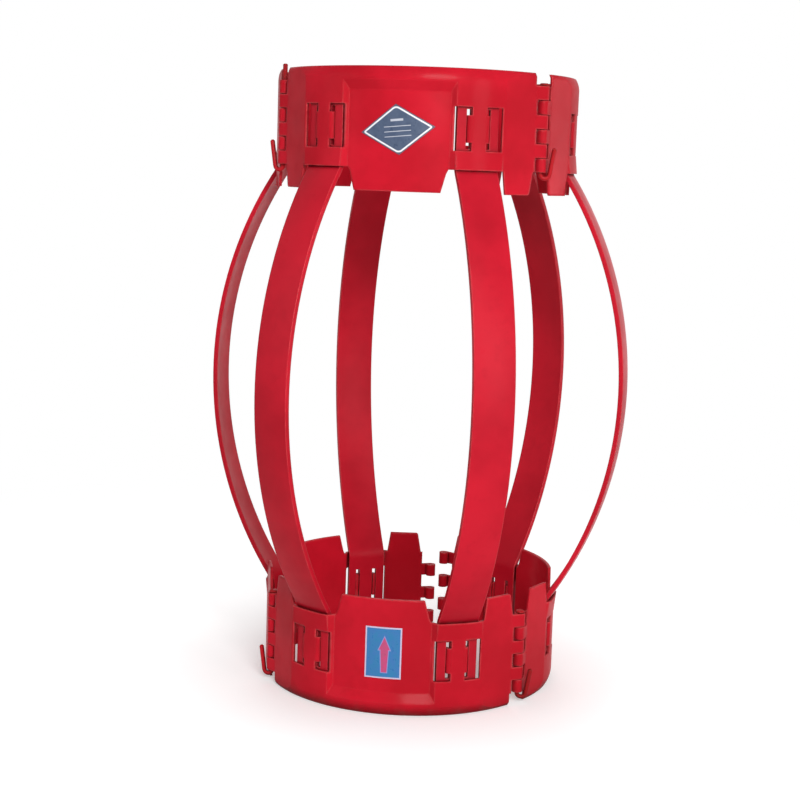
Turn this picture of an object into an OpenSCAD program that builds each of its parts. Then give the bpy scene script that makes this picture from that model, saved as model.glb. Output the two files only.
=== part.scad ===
// Bow-spring casing centralizer, hinged, not welded.
// Two collars ride on a well casing and carry six bow springs between them. Each collar is made of
// three pressed-sheet segments, whose curled knuckles interlock on hinge lines 120 degrees apart.
// A bent pin closes a hinge line in each collar. Every bow end lies in a raised pocket of the
// collar, where two ears of the pocket pass through two slits in the bow and hold it.
// The axis is Z, the lower rim lies in the plane z = 0, and the front segment faces -Y.

/* [Casing and overall] */
// Outside diameter of the casing that passes through the collars
casing_d = 244.5; // [230:0.5:275]
// Radial gap between the casing and the faces of the collars and bows that it runs against
running_gap = 0.75; // [0.5:0.05:2.5]
// Height from the lower rim to the upper rim
overall_h = 540; // [480:5:620]
// Angle by which the right-hand panel stands open at rest
rest_open = 3.5; // [0:0.5:20]

/* [Collar sheet] */
// Thickness of the collar sheet
sheet_t = 2.5; // [2:0.1:3]
// Distance by which the rim is rolled inwards
rim_turn = 3; // [1:0.1:3.8]
// Height over which the rim is rolled
rim_h = 10; // [6:0.5:10.5]
// Height at which the pressed step above the rim starts
step_z = 11; // [11:0.5:13]
// Height of the pressed step above the rim
step_h = 8; // [5:0.5:10]
// Length of the tabs beyond the bows' pockets
tab_h = 18.9; // [10:0.1:26]

/* [Pockets] */
// Distance from the rim to the slots of a pocket
slot_z = 30.5; // [28:0.5:34]
// Height of the slots of a pocket
slot_h = 35.2; // [28:0.2:38]
// Width of the strip between the two slots of a pocket
strip_w = 12.8; // [10:0.2:15]
// Distance from the bow's edge to the outer edge of a slot
slot_side = 2.7; // [2.2:0.1:3.6]
// Gap between the bow and the inner face of its pocket
seat_gap = 0.1; // [0.1:0.05:0.3]
// Gap between the bow's edge and the side of its pocket
side_gap = 0.5; // [0.4:0.1:0.8]
// Distance by which the mouth of a pocket flares outwards
flare = 1.5; // [1.2:0.1:2.5]
// Height of the ears that are bent through the bow
ear_h = 22; // [12:0.5:26]
// Inside radius of the ears' bend
ear_bend = 1; // [0.6:0.1:1.2]
// Clearance round an ear in its slit
ear_gap = 0.4; // [0.3:0.05:0.6]
// Taper of the middle tab's edges over the tab's length
mid_taper = 5.8; // [2:0.2:9]
// Taper of the end tabs' inner edges over the tab's length
end_taper = 2.6; // [1:0.2:6]
// Taper of the end tabs' edges beside the hinge over the tab's length
hinge_taper = 3.2; // [0:0.2:5]

/* [Bow springs] */
// Width of a bow
bow_w = 36; // [32:0.5:40]
// Thickness of a bow
bow_t = 4; // [3:0.1:5]
// Diameter over the crowns of the bows
bow_od = 370; // [340:1:400]
// Radius of the bend where a bow leaves its pocket, on its centre line
bow_bend = 17; // [12:0.5:22]
// Distance from the mouth of a pocket to the start of that bend, inside the pocket
bow_bend_in = 6; // [3:0.5:8]
// Distance from the rim to the end of a bow
bow_end_z = 21; // [20:0.5:25]
// Length by which a bow's slits run past the ears at each end
slit_over = 5; // [2:0.5:6]

/* [Hinges] */
// Diameter of a hinge pin
pin_d = 4; // [3.6:0.1:4.8]
// Radial gap between a pin and its knuckles
pin_gap = 0.08; // [0.04:0.01:0.1]
// Number of knuckles on a hinge line of one collar
knuckles = 6; // [4:1:7]
// Height of one knuckle with its gap
knuckle_h = 11.85; // [10:0.05:12]
// Gap between two knuckles along the pin
knuckle_gap = 0.5; // [0.3:0.1:0.8]
// Distance from the rim to the first knuckle
knuckle_z = 10; // [9.5:0.1:14]
// Gap beside a knuckle, between its curl and the neighbour's edge
window_gap = 4.4; // [2:0.1:4.6]
// Distance from the hinge line to the edges of the tabs and of the rim, where the knuckles rise
edge_back = 10.6; // [10.2:0.2:13]
// Angle of the gap that is left where a knuckle's curl ends
curl_open = 76; // [70:1:95]

/* [Pins] */
// Radius of a pin's bend, on its centre line
hook_bend = 3.9; // [3.9:0.1:4.5]
// Angle through which a pin's lower end is bent
hook_angle = 171; // [150:1:174]
// Length of the straight end beyond the bend
hook_leg = 21; // [10:0.5:26]
// Angle from the outward direction by which the bent end is turned towards the swinging panel
hook_turn = 45; // [30:1:55]
// Diameter of a pin's head
head_d = 7.6; // [6:0.1:9]
// Height of a pin's head
head_h = 2; // [1.4:0.1:2.8]
// Height by which the upper left-hand pin stands above its knuckles
proud_h = 11.5; // [3:0.5:14]

/* [Labels] */
// Width of the diamond label across its corners
diamond_w = 61; // [40:0.2:66]
// Height of the diamond label across its corners
diamond_h = 40.8; // [26:0.2:46]
// Distance from the upper rim to the middle of the diamond label
diamond_z = 50.3; // [46:0.5:54]
// Tilt of the diamond label
diamond_tilt = 5.7; // [0:0.1:8]
// Width of the arrow label
arrow_w = 31.2; // [22:0.2:40]
// Height of the arrow label
arrow_h = 44.6; // [34:0.2:50]
// Distance from the lower rim to the middle of the arrow label
arrow_z = 53.6; // [50:0.2:57]
// Offset of the arrow label from the middle of the front panel
arrow_x = 2.4; // [0:0.2:6]
// Thickness of the labels
label_t = 0.3; // [0.2:0.05:0.5]

/* [Hidden] */
// Segments in a collar, and the angles of their pockets and hinge lines from their middle
segments = 3;
seg_a = 360 / segments;
pocket_a = seg_a / 4;
hinge_a = seg_a / 2;

// Radii of the sheet: the middle and end panels run on the casing, the pockets stand proud of them
panel_in = casing_d / 2 + running_gap;
panel_out = panel_in + sheet_t;
pocket_in = panel_in + bow_t + seat_gap;
pocket_out = pocket_in + sheet_t;
step_d = pocket_in - panel_in;

// Heights along a collar, from its rim
pocket_h = knuckle_z + knuckles * knuckle_h;
collar_h = pocket_h + tab_h;
slot_top = slot_z + slot_h;
flare_z = slot_top + 1;
ear_z = slot_z + (slot_h - ear_h) / 2;

// Half widths across a pocket: of the strip, the bow, the slots and the notch above them, and of the
// sheet's sloping sides, whose bends on the two faces lie apart by the sheet's thickness; slope_over is
// the share of it by which the slope's cutter runs on at both ends
strip_half = strip_w / 2;
bow_half = bow_w / 2;
slot_half = bow_half + slot_side;
side_run = 3;
slope_over = 0.04;
side_shift = sheet_t * tan(atan(step_d / side_run) / 2);
in_top = bow_half + side_gap;
in_base = in_top + side_run;
out_top = in_top + side_shift;
out_base = in_base + side_shift;
notch_half = out_base + 0.4;
notch_chamfer = 3.4;

// End panels: flat from a fold beside the pocket to the hinge, at the distances flat_out and flat_in
// from the axis; the fold's place, the lean of the flare's side there, and the tab's corner
fold = slot_half + 2.2;
fold_a = pocket_a + asin(fold / pocket_out);
fold_lean = 0.6;
flat_mid_a = (hinge_a + fold_a) / 2;
flat_half_a = (hinge_a - fold_a) / 2;
flat_out = pocket_out * cos(flat_half_a);
flat_in = flat_out - sheet_t;
notch_end = fold + 0.4;
tab_corner = 1.4;

// How much lower the step above the rim lies on the sheet's inner face
step_shift = sheet_t * tan(atan(step_d / step_h) / 2);
step_low = step_z - step_shift;

// Knuckles: the curl's outer and bore radii, and the pin's distance from the casing's axis
pin_r = pin_d / 2;
bore_r = pin_r + pin_gap;
curl_r = bore_r + sheet_t;
curl_lift = 0.05;
hinge_r = panel_in + curl_r + curl_lift;
curl_start = 8;
window_back = curl_r + window_gap;

// Bows: the ear bend's outer radius, and the centre line's arc, bend and tangent point
ear_r = ear_bend + sheet_t;
leg_c = panel_in + bow_t / 2;
crown_c = bow_od / 2 - bow_t / 2;
bow_rise = crown_c - leg_c;
bend_z = overall_h / 2 - pocket_h + bow_bend_in;
arc_sum = (bend_z * bend_z + bow_rise * bow_rise) / (2 * bow_rise);
arc_r = arc_sum - bow_bend;
arc_a = asin(bend_z / arc_sum);
bow_sweep = 10;
slit_clear = 0.1;

// Pins: the straight run below the knuckles before the bend, how much the bend thins the pin's
// radius, the chamfers of the tip and the head, the height at which a head stands off the knuckle
// below it, and how much wider than its pin a plain head is
pin_drop = 0.6;
bend_thin = 0.05;
tip_chamfer = 1.1;
head_chamfer = 0.8;
head_lift = 0.2;
plain_head = 0.2;

// Labels: the gap to the sheet behind them
label_gap = 0.05;

// How far below the face of the end panel the knuckles' sheet joins it
seam = 0.05;

// Reach of the cutting shapes past the sheet, the overlap that joins two shapes of one solid, the
// fineness of round shapes, and the number of steps on the curves of the outlines
past = 12;
far = 200;
join = 0.2;
fine = 48;
broad = 180;
roll_steps = 8;
bend_steps = 7;
bow_steps = 40;

red = [0.78, 0.08, 0.16];

// ---- Helpers ----

function polar(r, a) = [r * cos(a), r * sin(a)];
function turned(p, a) = [p[0] * cos(a) - p[1] * sin(a), p[0] * sin(a) + p[1] * cos(a)];
function arc(c, r, a0, a1, n) = [for (i = [0:n]) c + polar(r, a0 + (a1 - a0) * i / n)];

// Point on the circle of radius r that lies at the sideways distance y from the radial X axis
function beside(r, y) = [sqrt(r * r - y * y), y];

// Distance by which the rim is rolled in at the height z
function rolled(z) = rim_turn * pow(max(0, 1 - z / rim_h), 2);

// A prism that runs outwards along X through the wall; its outline is drawn in (sideways, height)
module radial(outline, r0 = panel_in - past, r1 = pocket_out + past) {
    translate([r0, 0, 0]) rotate([90, 0, 90]) linear_extrude(r1 - r0) polygon(outline);
}

function box_outline(y0, y1, z0, z1) = [[y0, z0], [y1, z0], [y1, z1], [y0, z1]];

// ---- Collar segment, rim down, its middle on the X axis ----

// Outer face of the sheet at the pockets' radius: rolled rim, straight wall, flared mouth
module full_wall() {
    roll = [for (i = [0:roll_steps]) let (z = rim_h * i / roll_steps) [pocket_out - rolled(z), z]];
    outline = concat([[panel_in, 0]], roll, [[pocket_out, flare_z], [pocket_out + flare, pocket_h],
        [pocket_out + flare, collar_h], [panel_in, collar_h]]);
    rotate([0, 0, -hinge_a]) rotate_extrude(angle = seg_a, $fn = broad) polygon(outline);
}

// Point at the angle a on the plane of an end panel's face that lies at the distance d from the axis
function on_flat(d, a) = polar(d / cos(a - flat_mid_a), a);

// Plan of the middle panel: its sides slope from the radius r0 to r1, and a little past both, y0 and
// y1 away from the middle of a pocket there, and run on straight outwards
module middle_plan(r0, y0, r1, y1) {
    slope = beside(r1, y1) - beside(r0, y0);
    foot = beside(r0, y0) - slope * slope_over;
    edge = beside(r1, y1) + slope * slope_over;
    side = [for (p = [foot, edge, edge + [past, 0]]) turned([p[0], -p[1]], pocket_a)];
    polygon(concat(side, [[far, 0]], [for (i = [2:-1:0]) [side[i][0], -side[i][1]]], [[0, 0]]));
}

// Where the plan of an end panel starts: on its face at the distance d and the angle a, and from
// there outwards along the leaning side of the pocket's flare
function flat_start(d, a) = [on_flat(d, a),
    turned(turned(on_flat(d, a), -pocket_a) + [past, -past * fold_lean], pocket_a)];

// Everything outside the end panels' outer face
module outside_flats() {
    start = flat_start(flat_out, fold_a - 0.3);
    for (side = [-1, 1]) on_side(side)
        polygon([start[0], start[1], polar(far, fold_a), polar(far, hinge_a + past),
            on_flat(flat_out, hinge_a + past)]);
}

// Everything inside the end panels' inner face, and the pockets between them
module inside_flats() {
    side = concat([on_flat(flat_in, hinge_a + past)], flat_start(flat_in, fold_a - 1));
    polygon(concat(side, [[far, 0]], [for (i = [2:-1:0]) [side[i][0], -side[i][1]]], [[0, 0]]));
}

// Everything outside the radius r and above the step over the rim, which starts at the height low
// and rises by step_h over the radial distance depth
module beyond(r, depth, low) {
    side = depth + past;
    rotate_extrude($fn = broad)
        polygon([[r, low + step_h], [r + side, low + step_h - side * step_h / depth],
            [far, low + step_h - side * step_h / depth], [far, collar_h + past],
            [r, collar_h + past]]);
}

module upright() {
    translate([0, 0, -far]) linear_extrude(2 * far) children();
}

// What is taken from the outer face over the middle and end panels
module panel_press() {
    intersection() {
        beyond(panel_out, step_d, step_z);
        upright() middle_plan(panel_out, out_base, pocket_out, out_top);
    }
    upright() outside_flats();
}

// What is taken from inside: all within the inner faces of the pockets and the end panels, apart
// from the middle panel
module hollow() {
    roll = [for (i = [0:roll_steps]) let (z = rim_h * i / roll_steps) [pocket_in - rolled(z), z]];
    difference() {
        intersection() {
            rotate_extrude($fn = broad)
                polygon(concat([[panel_in - past, -past], [pocket_in - rim_turn, -past]], roll,
                    [[pocket_in, flare_z], [pocket_in + flare, pocket_h],
                    [pocket_in + flare, collar_h + past], [panel_in - past, collar_h + past]]));
            upright() inside_flats();
        }
        intersection() {
            beyond(panel_in - join, step_d + join, step_low);
            upright() middle_plan(panel_in, in_base, pocket_in, in_top);
        }
    }
}

// The two slots of a pocket and the notch above it; the middle tab lies on the -Y side
module pocket_cuts() {
    for (side = [-1, 1])
        mirror([0, side < 0 ? 1 : 0, 0]) radial(box_outline(strip_half, slot_half, slot_z, slot_top));
    radial([[-notch_half, pocket_h], [-notch_half - notch_chamfer / 2, pocket_h + notch_chamfer],
        [-notch_half - mid_taper, collar_h], [-notch_half - mid_taper, collar_h + past],
        [notch_end + end_taper, collar_h + past], [notch_end + end_taper, collar_h],
        [notch_end, pocket_h]]);
}

// One ear: bent inwards from the edge of the strip, through the bow
module ear() {
    c = [beside(pocket_out, strip_half)[0] - curl_lift - ear_r, strip_half];
    tip = panel_in + seat_gap;
    translate([0, 0, ear_z]) linear_extrude(ear_h) {
        translate(c) intersection() {
            difference() {
                circle(ear_r, $fn = fine);
                circle(ear_bend, $fn = fine);
            }
            translate([0, -join]) square([ear_r, ear_r + join]);
        }
        translate([tip, strip_half + ear_bend]) square([c[0] - tip + join, sheet_t]);
    }
}

// What is cut at a hinge line, with the line on the X axis and this panel on the -Y side
module hinge_cuts() {
    back = edge_back + hinge_taper;
    radial([[-edge_back, -past], [-edge_back, pocket_h], [-back, collar_h - tab_corner],
        [-back - tab_corner, collar_h], [-back - tab_corner, collar_h + past],
        [past, collar_h + past], [past, -past]]);
}

// This panel's own knuckles: the sheet rises along its edge, goes over the pin and curls in under
// it, and windows in it leave room for the neighbour's knuckles
module knuckle_row(first) {
    h = flat_half_a;
    start = [(flat_out - seam - edge_back * sin(h)) / cos(h), -edge_back];
    root = [0, -2 * join];
    reach = [hinge_r, 0] - start;
    rise = atan(reach[0] / reach[1]) + asin((curl_r - seam) / norm(reach));
    thick = sheet_t - 2 * seam;
    mitre = start - thick / cos((rise - h) / 2) * [cos((rise + h) / 2), -sin((rise + h) / 2)];
    slant = root[1] * sin(h) / cos(h);
    gap = knuckle_gap / 2;
    difference() {
        translate([hinge_r, 0, knuckle_z + gap]) linear_extrude(knuckles * knuckle_h - knuckle_gap)
            difference() {
                union() {
                    difference() {
                        circle(curl_r, $fn = fine);
                        polygon([[0, 0], polar(past, -rise - curl_start),
                            polar(past, -rise - curl_start - curl_open)]);
                    }
                    translate([-hinge_r, 0]) polygon([start + [slant, root[1]], start,
                        [hinge_r, 0] + polar(curl_r - seam, -rise),
                        [hinge_r, 0] + polar(curl_r - seam - thick, -rise), mitre,
                        start + [slant - thick / cos(h), root[1]]]);
                }
                circle(bore_r, $fn = fine);
            }
        for (i = [1 - first:2:knuckles - 1]) {
            z = knuckle_z + i * knuckle_h;
            radial(box_outline(-window_back, past, z - gap, z + knuckle_h + gap));
        }
    }
}

module on_side(side) {
    mirror([0, side < 0 ? 1 : 0, 0]) children();
}

// A whole segment; seen from outside, its left end has the knuckle next to the rim
module segment() {
    difference() {
        full_wall();
        panel_press();
        hollow();
        for (side = [-1, 1]) on_side(side) {
            rotate([0, 0, pocket_a]) pocket_cuts();
            rotate([0, 0, hinge_a]) hinge_cuts();
        }
    }
    for (side = [-1, 1]) on_side(side) {
        rotate([0, 0, pocket_a]) for (edge = [-1, 1]) on_side(edge) ear();
        rotate([0, 0, hinge_a]) knuckle_row(side < 0 ? 0 : 1);
    }
}

// ---- Bow spring, its middle on the X axis ----

module bow() {
    mid = overall_h / 2;
    arc_c = [crown_c - arc_r, mid];
    low_c = [leg_c + bow_bend, mid - bend_z];
    high_c = [leg_c + bow_bend, mid + bend_z];
    half = bow_t / 2;
    outer = concat([[leg_c + half, bow_end_z]],
        arc(low_c, bow_bend - half, 180, 180 - arc_a, bend_steps),
        arc(arc_c, arc_r + half, -arc_a, arc_a, bow_steps),
        arc(high_c, bow_bend - half, 180 + arc_a, 180, bend_steps),
        [[leg_c + half, overall_h - bow_end_z]]);
    inner = concat([[leg_c - half, overall_h - bow_end_z]],
        arc(high_c, bow_bend + half, 180, 180 + arc_a, bend_steps),
        arc(arc_c, arc_r - half, arc_a, -arc_a, bow_steps),
        arc(low_c, bow_bend + half, 180 - arc_a, 180, bend_steps), [[leg_c - half, bow_end_z]]);
    slit_in = strip_half + slit_clear;
    slit_out = strip_half + ear_r + ear_gap;
    slit_z = ear_z - slit_over;
    slit_h = ear_h + 2 * slit_over;
    difference() {
        intersection() {
            rotate([0, 0, -bow_sweep]) rotate_extrude(angle = 2 * bow_sweep, $fn = broad)
                polygon(concat(outer, inner));
            translate([0, -bow_half, 0]) cube([far * 2, bow_w, overall_h]);
        }
        for (side = [-1, 1]) on_side(side)
            for (z = [slit_z, overall_h - slit_z - slit_h])
                radial(box_outline(slit_in, slit_out, z, z + slit_h));
    }
}

// ---- Hinge pin, its axis on Z, its stack of knuckles from z = 0 upwards, bent towards +X ----

module pin(top, head) {
    foot = -pin_drop - join;
    brim = top + head_h;
    leg_a = 180 - hook_angle;
    rotate_extrude($fn = fine)
        polygon([[0, foot], [pin_r, foot], [pin_r, top], [head / 2, top],
            [head / 2, brim - head_chamfer], [head / 2 - head_chamfer, brim], [0, brim]]);
    translate([hook_bend, 0, -pin_drop]) {
        rotate([90, 0, 0]) rotate([0, 0, 180]) rotate_extrude(angle = hook_angle, $fn = fine)
            translate([hook_bend, 0]) circle(pin_r - bend_thin, $fn = fine);
        rotate([0, leg_a, 0]) translate([hook_bend, 0, 0]) rotate_extrude($fn = fine)
            polygon([[0, -join], [pin_r, -join], [pin_r, hook_leg],
                [pin_r - tip_chamfer, hook_leg + tip_chamfer], [0, hook_leg + tip_chamfer]]);
    }
}

// ---- Placing ----

// A collar segment by its number, counted from the front; the upper collar is the lower one turned over
module lower_segment(k) {
    color(red) rotate([0, 0, k * seg_a - 90]) segment();
}

module upper_segment(k) {
    color(red) rotate([0, 0, k * seg_a - 90]) translate([0, 0, overall_h]) rotate([180, 0, 0]) segment();
}

module placed_bow(k, side) {
    color(red) rotate([0, 0, k * seg_a - 90 + side * pocket_a]) bow();
}

// A pin on the front panel's hinge line on the given side; base is the foot of its knuckles
module placed_pin(side, base, proud, head) {
    stack = knuckles * knuckle_h;
    color(red) rotate([0, 0, side * hinge_a - 90]) translate([hinge_r, 0, base])
        rotate([0, 0, side * hook_turn]) pin(stack + proud, head);
}

// The right-hand panel swings on the front panel's right-hand hinge line
module swung() {
    h = polar(hinge_r, hinge_a - 90);
    translate([h[0], h[1], 0]) rotate([0, 0, -rest_open]) translate([-h[0], -h[1], 0]) children();
}

// A thin label that lies on the front panel; its outline is drawn in (sideways, height)
module label(outline) {
    rotate([0, 0, -90]) intersection() {
        radial(outline);
        difference() {
            cylinder(h = overall_h, r = panel_out + label_gap + label_t, $fn = broad);
            translate([0, 0, -1]) cylinder(h = overall_h + 2, r = panel_out + label_gap, $fn = broad);
        }
    }
}

module label_diamond() {
    z = overall_h - diamond_z;
    corners = [[diamond_w / 2, 0], [0, diamond_h / 2], [-diamond_w / 2, 0], [0, -diamond_h / 2]];
    color([0.3, 0.36, 0.47]) label([for (c = corners) turned(c, diamond_tilt) + [0, z]]);
}

module label_arrow() {
    color([0.2, 0.5, 0.75]) label(box_outline(arrow_x - arrow_w / 2, arrow_x + arrow_w / 2,
        arrow_z - arrow_h / 2, arrow_z + arrow_h / 2));
}

upper_base = overall_h - pocket_h;

lower_segment(0);  // lower_collar_front
swung() lower_segment(1);  // lower_collar_right
lower_segment(2);  // lower_collar_left
upper_segment(0);  // upper_collar_front
swung() upper_segment(1);  // upper_collar_right
upper_segment(2);  // upper_collar_left
placed_bow(0, -1);  // bow_front_left
placed_bow(0, 1);  // bow_front_right
swung() placed_bow(1, -1);  // bow_right_front
swung() placed_bow(1, 1);  // bow_right_rear
placed_bow(2, -1);  // bow_left_rear
placed_bow(2, 1);  // bow_left_front
swung() placed_pin(1, knuckle_z, head_lift, head_d);  // pin_lower_right
swung() placed_pin(1, upper_base, head_lift, head_d);  // pin_upper_right
placed_pin(-1, knuckle_z, head_lift, head_d);  // pin_lower_left
placed_pin(-1, upper_base, proud_h, pin_d + plain_head);  // pin_upper_left
label_diamond();
label_arrow();
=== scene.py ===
import math
import bpy
from mathutils import Matrix, Vector


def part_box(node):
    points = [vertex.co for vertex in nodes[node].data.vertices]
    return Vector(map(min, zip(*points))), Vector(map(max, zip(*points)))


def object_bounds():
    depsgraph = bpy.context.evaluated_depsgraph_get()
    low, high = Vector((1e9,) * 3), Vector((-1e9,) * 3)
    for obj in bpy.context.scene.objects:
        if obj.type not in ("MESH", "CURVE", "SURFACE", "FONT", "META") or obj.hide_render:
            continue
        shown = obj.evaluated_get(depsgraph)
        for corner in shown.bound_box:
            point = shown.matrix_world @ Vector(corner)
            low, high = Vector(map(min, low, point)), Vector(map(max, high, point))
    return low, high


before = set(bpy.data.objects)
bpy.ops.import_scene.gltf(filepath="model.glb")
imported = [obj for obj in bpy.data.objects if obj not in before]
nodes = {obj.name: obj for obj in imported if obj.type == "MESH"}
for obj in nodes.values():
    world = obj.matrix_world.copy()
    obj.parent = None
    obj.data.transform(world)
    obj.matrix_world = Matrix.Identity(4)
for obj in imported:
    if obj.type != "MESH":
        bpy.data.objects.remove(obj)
cad_lo, cad_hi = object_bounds()

# ---- Node helpers ----


class Tree:
    """A short way to write the nodes of one material, or of the world."""

    def __init__(self, owner, output="OutputMaterial"):
        owner.use_nodes = True
        self.owner, self.nt = owner, owner.node_tree
        self.nt.nodes.clear()
        self.out = self.node(output)

    def node(self, kind, inputs=(), **attrs):
        """A new node, with its settings and what goes into its sockets."""
        n = self.nt.nodes.new("ShaderNode" + kind)
        for k, v in attrs.items():
            setattr(n, k, v)
        for k, v in dict(inputs).items():
            self.put(n.inputs[k], v)
        return n

    def put(self, socket, v):
        """Link another node's output to the socket, or set the socket's own value."""
        if isinstance(v, bpy.types.NodeSocket):
            self.nt.links.new(v, socket)
        else:
            socket.default_value = v

    def math(self, op, *args, clamp=False):
        return self.node("Math", enumerate(args), operation=op, use_clamp=clamp).outputs[0]

    def add(self, a, b):
        return self.math("ADD", a, b)

    def sub(self, a, b):
        return self.math("SUBTRACT", a, b)

    def mul(self, a, b):
        return self.math("MULTIPLY", a, b)

    def least(self, a, b):
        return self.math("MINIMUM", a, b)

    def off(self, a, b=0.0):
        """How far a lies from b, either way."""
        return self.math("ABSOLUTE", self.sub(a, b))

    def mix(self, f, a, b):
        """Colour a where f is 0, and colour b where it is 1."""
        a, b = (v if isinstance(v, bpy.types.NodeSocket) else (*v, 1) for v in (a, b))
        return self.node("Mix", {0: f, 6: a, 7: b}, data_type="RGBA").outputs[2]

    def ramp(self, f, lo, hi, out_lo=0.0, out_hi=1.0):
        """A smooth step from out_lo, where f is lo, to out_hi, where it is hi."""
        return self.node("MapRange", {0: f, 1: lo, 2: hi, 3: out_lo, 4: out_hi},
                         interpolation_type="SMOOTHSTEP").outputs[0]

    def noise(self, scale, detail, rough, stretch=None):
        """A pattern fixed to the object, with scale features to a metre."""
        vec = self.node("TexCoord").outputs["Object"]
        if stretch:
            vec = self.node("Mapping", {"Vector": vec, "Scale": stretch}).outputs[0]
        n = self.node("TexNoise", {"Vector": vec, "Scale": scale, "Detail": detail,
                                   "Roughness": rough})
        return n.outputs[0]

    def bump(self, height, distance, strength, normal=None):
        n = self.node("Bump", {"Height": height, "Distance": distance, "Strength": strength})
        if normal:
            self.put(n.inputs["Normal"], normal)
        return n.outputs[0]

    def end(self, shader):
        """Show this shader, and hand back the material or world."""
        self.put(self.out.inputs[0], shader)
        return self.owner

    def finish(self, **inputs):
        """End in a Principled shader. An underscore stands for a space in a socket's name."""
        b = self.node("BsdfPrincipled", {k.replace("_", " "): v for k, v in inputs.items()})
        return self.end(b.outputs[0])


# The band of values that holds most of a noise
MOST = (0.3, 0.7)

# ---- Paint ----

# Patterns in the paint: scale per metre, detail and roughness of their noise
COATS, MOTTLE, SPECKS = (11.0, 4.0, 0.55), (70.0, 5.0, 0.6), (520.0, 2.0, 0.5)
WAVES, PEEL, DRAWN_LINES = (26.0, 2.0, 0.4), (1100.0, 2.0, 0.5), (60.0, 3.0, 0.6)
# Heights in metres and strengths of the waves, of the paint's fine peel and of the drawn lines
WAVES_BUMP, PEEL_BUMP, LINES_BUMP = (0.0010, 0.35), (0.00006, 0.5), (0.0004, 0.22)
# Where in a pattern a change of colour comes in, and how strong it is at both ends
SHADE_IN, PATCH_IN, THIN_PAINT_SHEEN_IN = (0.32, 0.68), (0.52, 0.72, 0.0, 0.35), (0.3, 0.62, 0.15, 0.75)
CHIP_IN, DUST_IN = (0.62, 0.72, 0.0, 0.6), (0.4, 0.7, 0.0, 0.3)
CHIP, DUST = (0.11, 0.06, 0.055), (0.16, 0.07, 0.06)
# By how much the patterns make the paint glossier or duller
COATS_ROUGH, MOTTLE_ROUGH = (-0.05, 0.06), (-0.04, 0.05)
# How far the rounded normal turns from the face's own where an edge starts, and where it is full
EDGE_TURN, EDGE_RAYS = (0.012, 0.16), 8
# Corners: how far away in metres a wall counts, and how open a point is from full to no effect
CORNER_REACH, CORNER_OPEN, CORNER_RAYS = 0.02, (0.2, 0.9), 6
# Corners: how much painted shade shows there, its tone as a share of the shade colour, and added
# dullness
CORNER_SHADE_AMOUNT, CORNER_SHADE_TONE, CORNER_DULL = 0.9, 0.25, 0.2
BASE_GLOSS = 0.03


def paint(name, tone, shade, edge, rough, coat, coat_rough, round_edge, stretch=None):
    """Sprayed enamel on pressed steel: uneven coats, thin paint on the edges with a painted
    highlight, painted shade and dust in the corners.

    Its edges look rounded over round_edge metres. Where stretch is given, fine drawn lines run
    along the axis whose scale is smallest in it.
    """
    t = Tree(bpy.data.materials.new(name))
    bevel = t.node("Bevel", {"Radius": round_edge}, samples=EDGE_RAYS).outputs[0]
    geo = t.node("NewGeometry").outputs["Normal"]
    dot = t.node("VectorMath", {0: bevel, 1: geo}, operation="DOT_PRODUCT").outputs["Value"]
    on_edge = t.ramp(t.sub(1.0, dot), *EDGE_TURN)
    # Painted shade: an occlusion mask that finds corners and hollows, which are darkened below and
    # where dust is also laid
    corner = t.node("AmbientOcclusion", {"Distance": CORNER_REACH}, samples=CORNER_RAYS,
                    only_local=False).outputs["AO"]
    corner = t.ramp(corner, *CORNER_OPEN, 1.0, 0.0)
    layer, mottle, speck = t.noise(*COATS), t.noise(*MOTTLE), t.noise(*SPECKS)

    colour = t.mix(t.ramp(layer, *SHADE_IN), tone, shade)
    colour = t.mix(t.ramp(mottle, *PATCH_IN), colour, shade)
    # Painted shade: corners and hollows turn towards a dark share of the shade colour
    colour = t.mix(t.mul(corner, CORNER_SHADE_AMOUNT), colour, [c * CORNER_SHADE_TONE for c in shade])
    # Edges turn lighter and pinker: partly thin, worn paint and partly a painted highlight along
    # the edges
    colour = t.mix(t.mul(on_edge, t.ramp(mottle, *THIN_PAINT_SHEEN_IN)), colour, edge)
    colour = t.mix(t.mul(on_edge, t.ramp(speck, *CHIP_IN)), colour, CHIP)
    colour = t.mix(t.mul(corner, t.ramp(mottle, *DUST_IN)), colour, DUST)

    roughness = t.ramp(layer, *MOST, *(rough + change for change in COATS_ROUGH))
    roughness = t.add(roughness, t.ramp(mottle, *MOST, *MOTTLE_ROUGH))
    roughness = t.math("ADD", roughness, t.mul(corner, CORNER_DULL), clamp=True)
    normal = t.bump(t.noise(*WAVES), *WAVES_BUMP, bevel)
    normal = t.bump(t.noise(*PEEL), *PEEL_BUMP, normal)
    if stretch:
        normal = t.bump(t.noise(*DRAWN_LINES, stretch), *LINES_BUMP, normal)
    return t.finish(Base_Color=colour, Roughness=roughness, Normal=normal,
                    Specular_IOR_Level=BASE_GLOSS, Coat_Weight=coat, Coat_Roughness=coat_rough,
                    Coat_Normal=normal)


# Edge colour: a lighter, pinker red, partly worn thin paint and partly a painted highlight
WORN_EDGE_SHEEN = (0.72, 0.075, 0.085)
collar_paint = paint("paint_collar", (0.62, 0.010, 0.026), (0.46, 0.007, 0.017), WORN_EDGE_SHEEN,
                     rough=0.40, coat=0.07, coat_rough=0.15, round_edge=0.0030)
bow_paint = paint("paint_bow", (0.60, 0.010, 0.027), (0.45, 0.006, 0.018), WORN_EDGE_SHEEN,
                  rough=0.36, coat=0.16, coat_rough=0.32, round_edge=0.0016,
                  stretch=(1.0, 1.0, 0.06))
# Pins: the same red paint made darker, as painted shade for where they sit among the knuckles
pin_paint_shaded = paint("paint_pin_shaded", (0.52, 0.012, 0.020), (0.30, 0.010, 0.012), (0.36, 0.07, 0.05),
                  rough=0.46, coat=0.10, coat_rough=0.15, round_edge=0.0016)


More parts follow.
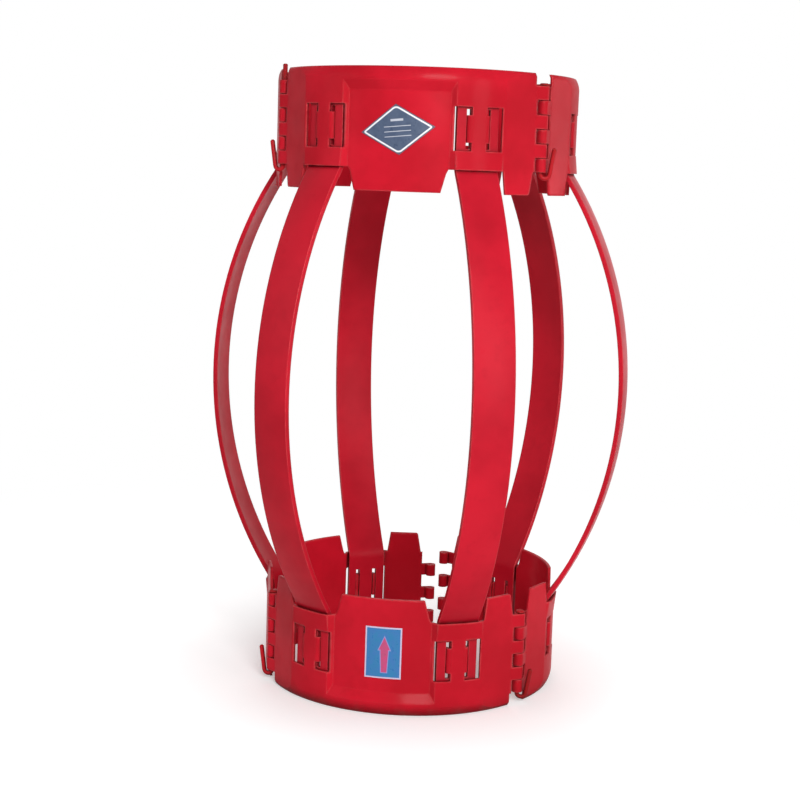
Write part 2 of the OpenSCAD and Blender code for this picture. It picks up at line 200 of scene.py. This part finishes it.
def dress(name, mat):
    for s in nodes[name].material_slots:
        s.material = mat


for name in nodes:
    if name.startswith("pin"):
        dress(name, pin_paint_shaded)
    elif name.startswith("bow"):
        dress(name, bow_paint)
    elif not name.startswith("label"):
        dress(name, collar_paint)

# ---- Labels, laid out in millimetres: x to the right, z upwards from the lower rim ----

MM = 1000.0
# Patterns in a label: its field's tint, wear of the arrow, smears on the film and its waves
TINTS, WEAR, SMEARS = (160.0, 4.0, 0.6), (330.0, 3.0, 0.6), (240.0, 3.0, 0.6)
FILM_WAVES, FILM_BUMP = (90.0, 2.0, 0.5), (0.0003, 0.3)
FILM_ROUGH, FILM_GLOSS = (0.26, 0.4), 0.3
# Half the width over which the edge of a border, a ruled line or the arrow blurs
PRINT_BLUR, RULE_BLUR, ARROW_BLUR = 0.12, 0.1, 0.15


def label(name, field, tint, line, border, edge, line_w, shape, extra):
    """A printed vinyl label.

    shape gives how deep a point lies inside the label's outline, edge and line_w are the widths
    of the border and of the line within it, and extra draws the rest.
    """
    t = Tree(bpy.data.materials.new(name))
    pos = t.node("SeparateXYZ", {0: t.node("TexCoord").outputs["Object"]})
    x, z = t.mul(pos.outputs[0], MM), t.mul(pos.outputs[2], MM)
    depth = shape(t, x, z)
    colour = t.mix(t.ramp(t.noise(*TINTS), *MOST), field, tint)
    colour = extra(t, colour, x, z)
    for width, outside in ((edge + line_w, line), (edge, border)):
        within = t.ramp(depth, width - PRINT_BLUR, width + PRINT_BLUR)
        colour = t.mix(within, outside, colour)
    rough = t.ramp(t.noise(*SMEARS), *MOST, *FILM_ROUGH)
    normal = t.bump(t.noise(*FILM_WAVES), *FILM_BUMP)
    return t.finish(Base_Color=colour, Roughness=rough, Normal=normal,
                    Specular_IOR_Level=FILM_GLOSS)


def middle_and_half(node):
    """Middle and half size of a label as seen from the front."""
    lo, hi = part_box(node)
    mid, half = (hi + lo) * MM / 2, (hi - lo) * MM / 2
    return mid.x, mid.z, half.x, half.z


# Diamond: size across its corners, tilt in degrees, how much its tips are cut, and their rounding
DIAMOND_W, DIAMOND_H, DIAMOND_TILT = 61.0, 40.8, 5.7
CUT_SIDE, CUT_TOP, CUT_SOFT = 1.6, 1.2, 1.2
# A short bar and ruled lines to write on: height, half length and half thickness
RULES = ((7.6, 5.2, 0.9), (2.6, 11.0, 0.3), (-1.4, 11.0, 0.3), (-5.4, 11.0, 0.3))
RULE_TONE, RULE_INK = (0.62, 0.64, 0.72), 0.8


def tilted(t, x, z):
    """Position along and across the tilted diamond, from its middle."""
    dz = t.sub(z, middle_and_half("label_diamond")[1])
    c, s = math.cos(math.radians(DIAMOND_TILT)), math.sin(math.radians(DIAMOND_TILT))
    return t.add(t.mul(x, c), t.mul(dz, s)), t.sub(t.mul(dz, c), t.mul(x, s))


def diamond(t, x, z):
    u, v = (t.off(w) for w in tilted(t, x, z))
    w, h = DIAMOND_W / 2, DIAMOND_H / 2
    far = t.add(t.math("DIVIDE", u, w), t.math("DIVIDE", v, h))
    side = t.mul(t.sub(1.0, far), w * h / math.hypot(w, h))
    tips = t.least(t.sub(w - CUT_SIDE, u), t.sub(h - CUT_TOP, v))
    return t.math("SMOOTH_MIN", side, tips, CUT_SOFT)


def ruled(t, colour, x, z):
    u, v = tilted(t, x, z)
    for height, half, thick in RULES:
        inside = t.least(t.sub(thick, t.off(v, height)), t.sub(half, t.off(u)))
        ink = t.ramp(inside, -RULE_BLUR, RULE_BLUR, 0.0, RULE_INK)
        colour = t.mix(ink, colour, RULE_TONE)
    return colour


def plate(t, x, z):
    mid_x, mid_z, half_x, half_z = middle_and_half("label_arrow")
    return t.least(t.sub(half_x, t.off(x, mid_x)), t.sub(half_z, t.off(z, mid_z)))


# Arrow: its middle, tip, the head's lower corners, and the shaft's foot and top
ARROW_X, ARROW_TIP, ARROW_BARB, ARROW_FOOT, SHAFT_TOP = 3.4, 67.2, 56.2, 36.6, 58.0
# Half width of the head per millimetre below its tip, half width of the shaft at the height
# SHAFT_Z, and how fast the shaft widens upwards
HEAD_SLOPE, SHAFT_HALF, SHAFT_Z, SHAFT_SLOPE = 0.44, 2.3, 36.0, 0.05
# By how much the pale outline goes past the tip, the head's foot, the shaft's sides and its foot
OUTLINE_TIP, OUTLINE_BARB, OUTLINE_SIDE, OUTLINE_FOOT = 1.6, 0.8, 0.75, 0.6
OUTLINE_TONE, OUTLINE_INK = (0.42, 0.36, 0.72), 0.6
ARROW_TONE, ARROW_WORN = (0.48, 0.08, 0.19), (0.60, 0.06, 0.20)


def arrow(t, colour, x, z):
    """A plain upward arrow with a pale outline."""
    side = t.off(x, ARROW_X)

    def solid(grow):
        head = t.mul(t.sub(ARROW_TIP + OUTLINE_TIP * grow, z), HEAD_SLOPE)
        head = t.least(t.sub(head, side), t.sub(z, ARROW_BARB - OUTLINE_BARB * grow))
        half = t.add(t.mul(t.sub(z, SHAFT_Z), SHAFT_SLOPE), SHAFT_HALF + OUTLINE_SIDE * grow)
        shaft = t.least(t.sub(half, side), t.sub(z, ARROW_FOOT - OUTLINE_FOOT * grow))
        shaft = t.least(shaft, t.sub(SHAFT_TOP, z))
        return t.ramp(t.math("MAXIMUM", head, shaft), -ARROW_BLUR, ARROW_BLUR)

    colour = t.mix(t.mul(solid(1.0), OUTLINE_INK), colour, OUTLINE_TONE)
    worn = t.ramp(t.noise(*WEAR), *MOST)
    return t.mix(solid(0.0), colour, t.mix(worn, ARROW_WORN, ARROW_TONE))


slate, blue = (0.075, 0.105, 0.175), (0.030, 0.205, 0.43)
dress("label_diamond", label(
    "label_slate", slate, (0.055, 0.082, 0.145), line=(0.82, 0.82, 0.86),
    border=(0.10, 0.085, 0.13), edge=0.9, line_w=1.3, shape=diamond, extra=ruled))
dress("label_arrow", label(
    "label_blue", blue, (0.045, 0.18, 0.46), line=blue,
    border=(0.62, 0.55, 0.72), edge=1.2, line_w=0.0, shape=plate, extra=arrow))

# ---- Floor, lights and camera ----

WHITE = (1, 1, 1, 1)
# Side of the floor and how far it lies below the object, in metres
FLOOR_SIZE, FLOOR_GAP = 30, 0.0005
FLOOR_TONES, FLOOR_GRAIN = ((0.80, 0.80, 0.80), (0.78, 0.78, 0.78)), (3.0, 3.0, 0.5)
# Glow of the floor as it is seen, in the middle and from GLOW_REACH metres away; the lower glow in
# the middle is painted shade under the object
GLOW_REACH, SHADED_GLOW_MIDDLE, GLOW_AWAY = 0.30, 0.20, 0.62
# Distances in metres over which the floor fades into the white background
FADE = (0.30, 0.9)
SKY_STRENGTH = 0.19
# Rays that see the white ground, directly, through glass or mirrored
SEEING_RAYS = ("Is Camera Ray", "Is Transmission Ray", "Is Glossy Ray")

# Soft lights: place, what they point at, width and height, and watts
LIGHTS = {
    "key": ((0.75, -2.0, 1.15), (0, 0, 0.20), (1.0, 1.0), 37),
    "bow sheen": ((1.9, -1.5, 0.42), (0.13, -0.11, 0.32), (0.5, 1.5), 8),
    "right sheen": ((1.8, 0.9, 0.45), (0.12, 0, 0.35), (0.8, 1.0), 7),
    "fill": ((-1.9, -1.3, 0.9), (0, 0, 0.27), (1.4, 1.4), 5),
    "back": ((-0.6, 2.0, 1.4), (0, 0, 0.3), (1.6, 1.0), 13),
}


def white_seen(t):
    """1 for the rays that see the white ground, and 0 for those that only carry light."""
    path = t.node("LightPath").outputs
    seen = path[SEEING_RAYS[0]]
    for ray in SEEING_RAYS[1:]:
        seen = t.math("MAXIMUM", seen, path[ray])
    return seen


def pale_floor():
    bpy.ops.mesh.primitive_plane_add(size=FLOOR_SIZE, location=(0, 0, cad_lo.z - FLOOR_GAP))
    floor = bpy.context.object
    floor.name = "floor"
    t = Tree(bpy.data.materials.new("floor"))
    seen = white_seen(t)
    place = t.node("TexCoord").outputs["Object"]
    away = t.node("VectorMath", {0: place}, operation="LENGTH").outputs["Value"]
    grain = t.mix(t.ramp(t.noise(*FLOOR_GRAIN), *MOST), *FLOOR_TONES)
    matte = t.node("BsdfDiffuse", {"Color": grain}).outputs[0]
    # Painted shade: the floor glows less towards the middle, under the object
    glow_with_painted_shade = t.mul(seen, t.ramp(away, 0.0, GLOW_REACH, SHADED_GLOW_MIDDLE, GLOW_AWAY))
    glow = t.node("Emission", {"Color": WHITE, "Strength": glow_with_painted_shade}).outputs[0]
    near = t.node("AddShader", {0: matte, 1: glow}).outputs[0]
    far = t.node("Emission", {"Color": WHITE, "Strength": 1.0}).outputs[0]
    both = t.node("MixShader", {0: t.mul(seen, t.ramp(away, *FADE)), 1: near, 2: far})
    floor.data.materials.append(t.end(both.outputs[0]))


def soft_light(name, where, at, size, watts):
    data = bpy.data.lights.new(name, "AREA")
    data.shape, data.size, data.size_y, data.energy = "ELLIPSE", size[0], size[1], watts
    obj = bpy.data.objects.new(name, data)
    bpy.context.scene.collection.objects.link(obj)
    obj.location = where
    obj.rotation_euler = (Vector(at) - Vector(where)).to_track_quat("-Z", "Y").to_euler()


def white_surroundings():
    """White where it is seen, and a dim grey as a light."""
    t = Tree(bpy.data.worlds.new("world"), "OutputWorld")
    sky = t.node("Background", {"Color": WHITE, "Strength": SKY_STRENGTH}).outputs[0]
    white = t.node("Background", {"Color": WHITE, "Strength": 1.0}).outputs[0]
    mixed = t.node("MixShader", {0: white_seen(t), 1: sky, 2: white})
    bpy.context.scene.world = t.end(mixed.outputs[0])


# Viewpoint: degrees to the right of the front, distance from the axis and height in metres, then
# the turns in degrees to the left of the axis, upwards and about the line of sight
VIEW_SIDE, VIEW_AWAY, VIEW_HEIGHT = 9.863, 1.4220, 0.4596
VIEW_TURNS = 0.534, -8.321, 1.945
SENSOR, LENS = 36, 71.56


def add_camera():
    side, yaw, pitch, roll = (math.radians(v) for v in (VIEW_SIDE, *VIEW_TURNS))
    ahead = Vector((-math.sin(side + yaw), math.cos(side + yaw), 0))
    right, up = Vector((ahead.y, -ahead.x, 0)), Vector((0, 0, 1))
    look = ahead * math.cos(pitch) + up * math.sin(pitch)
    top = up * math.cos(pitch) - ahead * math.sin(pitch)
    cam_x = right * math.cos(roll) + top * math.sin(roll)
    cam_y = top * math.cos(roll) - right * math.sin(roll)
    cam = bpy.data.cameras.new("camera")
    cam.sensor_width, cam.lens = SENSOR, LENS
    obj = bpy.data.objects.new("camera", cam)
    bpy.context.scene.collection.objects.link(obj)
    turn = Matrix((cam_x, cam_y, -look)).transposed().to_4x4()
    where = VIEW_AWAY * math.sin(side), -VIEW_AWAY * math.cos(side), VIEW_HEIGHT
    obj.matrix_world = Matrix.Translation(where) @ turn
    bpy.context.scene.camera = obj


pale_floor()
for name, light in LIGHTS.items():
    soft_light(name, *light)
white_surroundings()
add_camera()
bpy.context.scene.view_settings.view_transform = "Standard"
